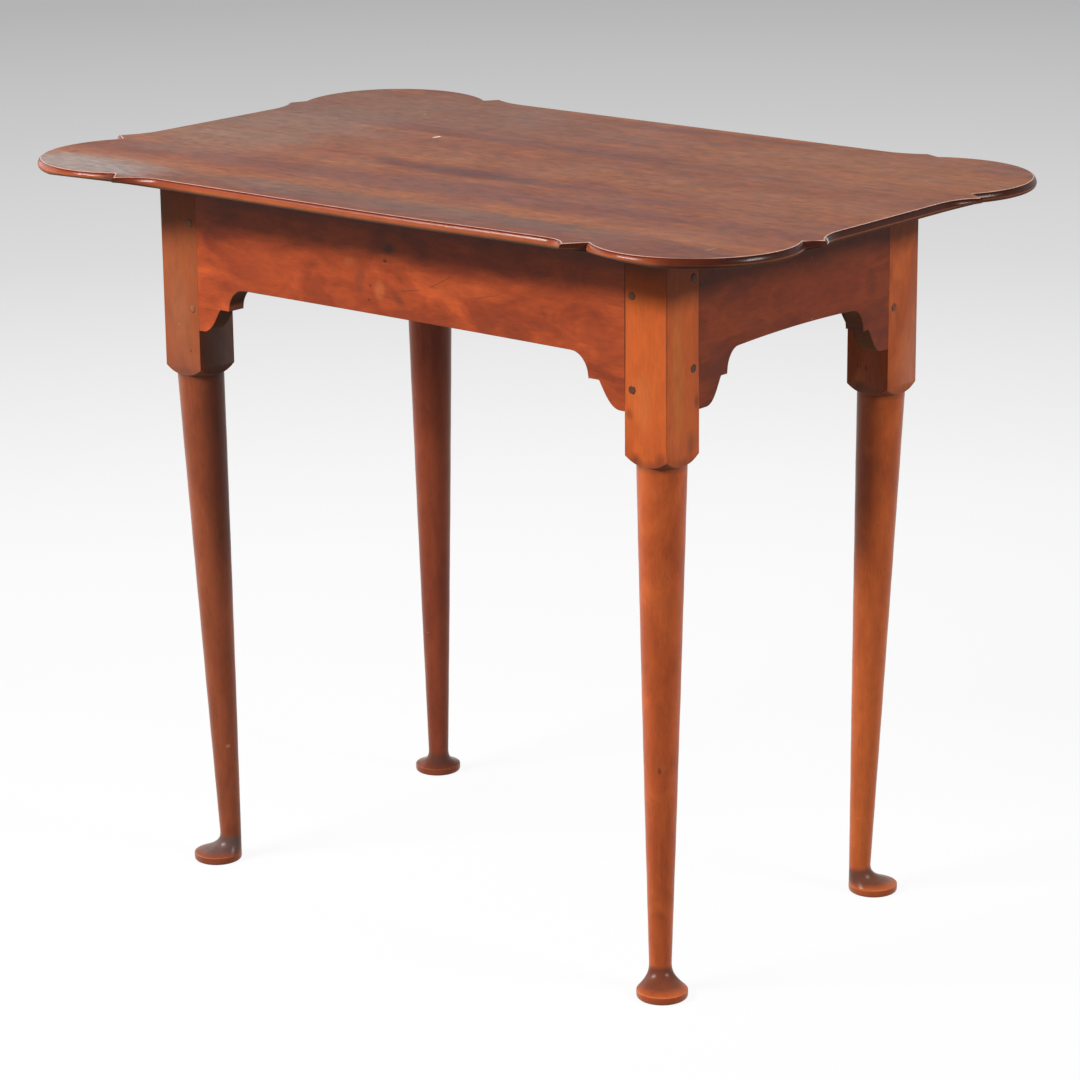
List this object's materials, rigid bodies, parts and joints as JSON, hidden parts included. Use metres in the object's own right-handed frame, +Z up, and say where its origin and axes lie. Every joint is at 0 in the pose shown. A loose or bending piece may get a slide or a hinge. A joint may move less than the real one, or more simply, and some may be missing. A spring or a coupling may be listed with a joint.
{
  "type": "porringer top tea table",
  "caption": "Wooden tea table with a lobed porringer top, scalloped pegged aprons, and round tapering legs on offset pad feet.",
  "frame": {"origin": "on the floor, below the middle of the table", "axes": "+X along the table's length to the right, +Y to the rear, +Z up"},
  "size_m": [0.826, 0.5352, 0.68],
  "materials": {
    "top_wood": "brown varnished cherry with reddish streaks, satin gloss",
    "leg_wood": "orange-brown varnished cherry, satin gloss",
    "rail_wood": "red-brown varnished cherry with cloudy figure, satin gloss",
    "peg_wood": "dark end grain under varnish",
    "glue_block_wood": "bare secondary wood, matt"
  },
  "bodies": {
    "root": {"top_front_board": "top_wood", "top_rear_board": "top_wood", "leg_front_right": "leg_wood", "leg_front_left": "leg_wood", "leg_rear_right": "leg_wood", "leg_rear_left": "leg_wood", "rail_front": "rail_wood", "rail_rear": "rail_wood", "rail_right": "rail_wood", "rail_left": "rail_wood", "peg_front_right_front_upper": "peg_wood", "peg_front_right_front_lower": "peg_wood", "peg_front_right_right_upper": "peg_wood", "peg_front_right_right_lower": "peg_wood", "peg_front_left_front_upper": "peg_wood", "peg_front_left_front_lower": "peg_wood", "peg_front_left_left_upper": "peg_wood", "peg_front_left_left_lower": "peg_wood", "peg_rear_right_rear_upper": "peg_wood", "peg_rear_right_rear_lower": "peg_wood", "peg_rear_right_right_upper": "peg_wood", "peg_rear_right_right_lower": "peg_wood", "peg_rear_left_rear_upper": "peg_wood", "peg_rear_left_rear_lower": "peg_wood", "peg_rear_left_left_upper": "peg_wood", "peg_rear_left_left_lower": "peg_wood", "glue_block_front_left": "glue_block_wood", "glue_block_front_middle": "glue_block_wood", "glue_block_front_right": "glue_block_wood", "glue_block_rear_left": "glue_block_wood", "glue_block_rear_middle": "glue_block_wood", "glue_block_rear_right": "glue_block_wood", "glue_block_left_end": "glue_block_wood", "glue_block_right_end": "glue_block_wood"}
  },
  "joints": []
}
